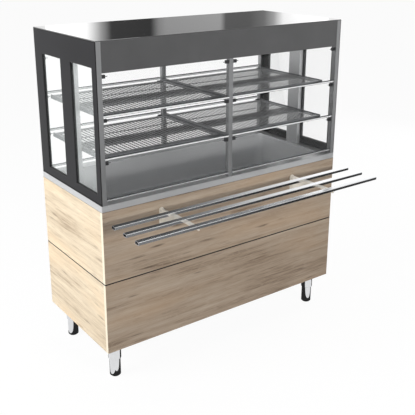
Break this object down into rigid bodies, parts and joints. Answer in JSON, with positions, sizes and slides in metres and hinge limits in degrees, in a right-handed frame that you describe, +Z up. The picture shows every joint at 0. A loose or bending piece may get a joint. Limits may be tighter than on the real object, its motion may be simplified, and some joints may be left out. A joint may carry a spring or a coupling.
{
  "type": "refrigerated self-service display counter",
  "caption": "Chilled self-service counter: oak-clad cabinet on legs, cold well, glazed display with perforated shelves, lift-up flaps and a tray slide.",
  "frame": {"origin": "centre of the bounding box's bottom face, on the floor under the counter and its tray slide", "axes": "+X along the counter, -Y towards the customers and the tray slide, +Z up"},
  "size_m": [1.5, 0.979, 1.716],
  "materials": {
    "oak_laminate": "light oak decor laminate, satin, fine lengthwise grain",
    "stainless": "brushed stainless steel, satin",
    "chrome_steel": "polished stainless tube",
    "anthracite_metal": "fine-textured anthracite powder coat",
    "aluminium_profile": "satin anodised aluminium",
    "black_glass": "glossy dark top plate",
    "clear_glass": "clear toughened glass",
    "clear_acrylic": "clear acrylic, polished edges",
    "black_rubber": "matte extruded rubber",
    "black_plastic": "moulded, fine matte",
    "diffuser": "opal diffuser",
    "galvanised": "galvanised sheet and tube",
    "foam_casing": "rigid foam in a thin casing",
    "copper": "drawn copper tube",
    "black_enamel": "black enamel",
    "condenser_fins": "thin aluminium fins on tube",
    "nickel_brass": "nickel-plated brass"
  },
  "bodies": {
    "counter": {"leg_sleeves": "chrome_steel", "cabinet_frame": "galvanised", "floor_tray": "galvanised", "side_panels_lower": "oak_laminate", "side_panels_upper": "oak_laminate", "front_panel_lower": "oak_laminate", "front_panel_upper": "oak_laminate", "rear_panel": "stainless", "service_grille": "stainless", "control_panel": "anthracite_metal", "thermostat": "black_plastic", "cable_gland": "black_plastic", "worktop": "stainless", "well": "stainless", "insulation": "foam_casing", "cooling_coil": "copper", "drain_pipe": "nickel_brass", "compressor": "black_enamel", "condenser": "condenser_fins", "fan_shroud": "black_enamel", "fan_motor": "black_enamel", "end_frames": "anthracite_metal", "glazing_gaskets": "black_rubber", "end_panes": "clear_glass", "end_uprights": "stainless", "corner_posts": "aluminium_profile", "centre_posts": "aluminium_profile", "canopy": "anthracite_metal", "canopy_top": "black_glass", "lamp_housing": "aluminium_profile", "lamp_diffuser": "diffuser", "shelf_supports": "stainless", "shelf_lower_left": "stainless", "shelf_lower_right": "stainless", "shelf_upper_left": "stainless", "shelf_upper_right": "stainless", "flap_hinges": "black_plastic", "tray_rails": "stainless", "tray_brackets": "stainless", "screws": "chrome_steel"},
    "condenser_fan": {"condenser_fan": "black_plastic"},
    "drain_lever": {"drain_lever": "black_plastic"},
    "flap_front_lower_left": {"flap_front_lower_left": "clear_acrylic"},
    "flap_front_lower_right": {"flap_front_lower_right": "clear_acrylic"},
    "flap_front_middle_left": {"flap_front_middle_left": "clear_acrylic"},
    "flap_front_middle_right": {"flap_front_middle_right": "clear_acrylic"},
    "flap_front_upper_left": {"flap_front_upper_left": "clear_acrylic"},
    "flap_front_upper_right": {"flap_front_upper_right": "clear_acrylic"},
    "flap_rear_lower_left": {"flap_rear_lower_left": "clear_acrylic"},
    "flap_rear_lower_right": {"flap_rear_lower_right": "clear_acrylic"},
    "flap_rear_middle_left": {"flap_rear_middle_left": "clear_acrylic"},
    "flap_rear_middle_right": {"flap_rear_middle_right": "clear_acrylic"},
    "flap_rear_upper_left": {"flap_rear_upper_left": "clear_acrylic"},
    "flap_rear_upper_right": {"flap_rear_upper_right": "clear_acrylic"},
    "foot_left_front": {"foot_left_front": "chrome_steel"},
    "foot_left_rear": {"foot_left_rear": "chrome_steel"},
    "foot_right_front": {"foot_right_front": "chrome_steel"},
    "foot_right_rear": {"foot_right_rear": "chrome_steel"},
    "power_switch": {"power_switch": "black_plastic"},
    "set_button": {"set_button": "black_plastic"}
  },
  "joints": [
    {"name": "front_lower_left_hinge", "type": "hinge", "parent": "counter", "child": "flap_front_lower_left", "pos_m": [-0.367, -0.1515, 1.16033], "axis": [-1, 0, 0], "range_deg": [0, 80]},
    {"name": "front_lower_right_hinge", "type": "hinge", "parent": "counter", "child": "flap_front_lower_right", "pos_m": [0.367, -0.1515, 1.16033], "axis": [-1, 0, 0], "range_deg": [0, 80]},
    {"name": "front_middle_left_hinge", "type": "hinge", "parent": "counter", "child": "flap_front_middle_left", "pos_m": [-0.367, -0.1515, 1.35867], "axis": [-1, 0, 0], "range_deg": [0, 80]},
    {"name": "front_middle_right_hinge", "type": "hinge", "parent": "counter", "child": "flap_front_middle_right", "pos_m": [0.367, -0.1515, 1.35867], "axis": [-1, 0, 0], "range_deg": [0, 80]},
    {"name": "front_upper_left_hinge", "type": "hinge", "parent": "counter", "child": "flap_front_upper_left", "pos_m": [-0.367, -0.1515, 1.557], "axis": [-1, 0, 0], "range_deg": [0, 80]},
    {"name": "front_upper_right_hinge", "type": "hinge", "parent": "counter", "child": "flap_front_upper_right", "pos_m": [0.367, -0.1515, 1.557], "axis": [-1, 0, 0], "range_deg": [0, 80]},
    {"name": "rear_lower_left_hinge", "type": "hinge", "parent": "counter", "child": "flap_rear_lower_left", "pos_m": [-0.367, 0.4755, 1.16033], "axis": [1, 0, 0], "range_deg": [0, 80]},
    {"name": "rear_lower_right_hinge", "type": "hinge", "parent": "counter", "child": "flap_rear_lower_right", "pos_m": [0.367, 0.4755, 1.16033], "axis": [1, 0, 0], "range_deg": [0, 80]},
    {"name": "rear_middle_left_hinge", "type": "hinge", "parent": "counter", "child": "flap_rear_middle_left", "pos_m": [-0.367, 0.4755, 1.35867], "axis": [1, 0, 0], "range_deg": [0, 80]},
    {"name": "rear_middle_right_hinge", "type": "hinge", "parent": "counter", "child": "flap_rear_middle_right", "pos_m": [0.367, 0.4755, 1.35867], "axis": [1, 0, 0], "range_deg": [0, 80]},
    {"name": "rear_upper_left_hinge", "type": "hinge", "parent": "counter", "child": "flap_rear_upper_left", "pos_m": [-0.367, 0.4755, 1.557], "axis": [1, 0, 0], "range_deg": [0, 80]},
    {"name": "rear_upper_right_hinge", "type": "hinge", "parent": "counter", "child": "flap_rear_upper_right", "pos_m": [0.367, 0.4755, 1.557], "axis": [1, 0, 0], "range_deg": [0, 80]},
    {"name": "foot_left_front_screw", "type": "slide", "parent": "counter", "child": "foot_left_front", "axis": [0, 0, -1], "range_m": [0, 0.03]},
    {"name": "foot_left_rear_screw", "type": "slide", "parent": "counter", "child": "foot_left_rear", "axis": [0, 0, -1], "range_m": [0, 0.03]},
    {"name": "foot_right_front_screw", "type": "slide", "parent": "counter", "child": "foot_right_front", "axis": [0, 0, -1], "range_m": [0, 0.03]},
    {"name": "foot_right_rear_screw", "type": "slide", "parent": "counter", "child": "foot_right_rear", "axis": [0, 0, -1], "range_m": [0, 0.03]},
    {"name": "fan_spin", "type": "hinge", "parent": "counter", "child": "condenser_fan", "pos_m": [0.51, 0.3015, 0.331], "axis": [0, 1, 0], "continuous": true},
    {"name": "drain_valve", "type": "hinge", "parent": "counter", "child": "drain_lever", "pos_m": [-0.5, 0.1765, 0.636], "axis": [0, 1, 0], "range_deg": [0, 90]},
    {"name": "switch_rock", "type": "hinge", "parent": "counter", "child": "power_switch", "pos_m": [-0.355, 0.4775, 0.633], "axis": [1, 0, 0], "range_deg": [-18, 0]},
    {"name": "set_press", "type": "slide", "parent": "counter", "child": "set_button", "axis": [0, -1, 0], "range_m": [0, 0.0015], "stiffness_N_per_m": 300}
  ]
}
